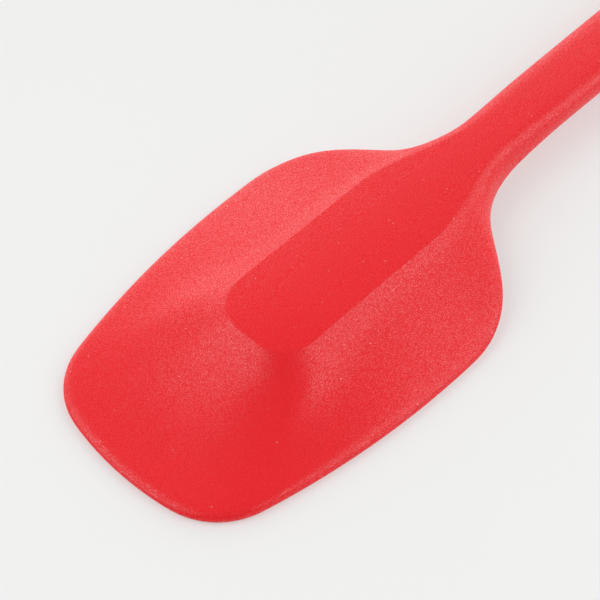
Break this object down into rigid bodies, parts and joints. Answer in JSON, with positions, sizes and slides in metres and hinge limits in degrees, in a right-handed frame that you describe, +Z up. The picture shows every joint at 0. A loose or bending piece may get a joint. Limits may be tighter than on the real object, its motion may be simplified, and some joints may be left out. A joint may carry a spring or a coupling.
{
  "type": "silicone spatula",
  "caption": "One-piece spoon-shaped silicone spatula with a flat raised spine, a shallow bowl, a slim handle and a hang hole.",
  "frame": {"origin": "middle of the box's underside: half way along the length, on the mirror plane, at the height of the table that the rim and the handle's end lie on", "axes": "+X from the blade's tip to the handle's end, +Y across the blade, +Z up from the bowl's open side to the flat spine"},
  "size_m": [0.276, 0.064, 0.0109],
  "materials": {
    "silicone": "satin, fine moulded grain",
    "nylon": "glass-filled, matte",
    "steel": "rolled strip, unpolished"
  },
  "bodies": {
    "root": {"silicone_body": "silicone", "head_core": "nylon", "handle_bar": "steel", "end_core": "nylon"}
  },
  "joints": []
}
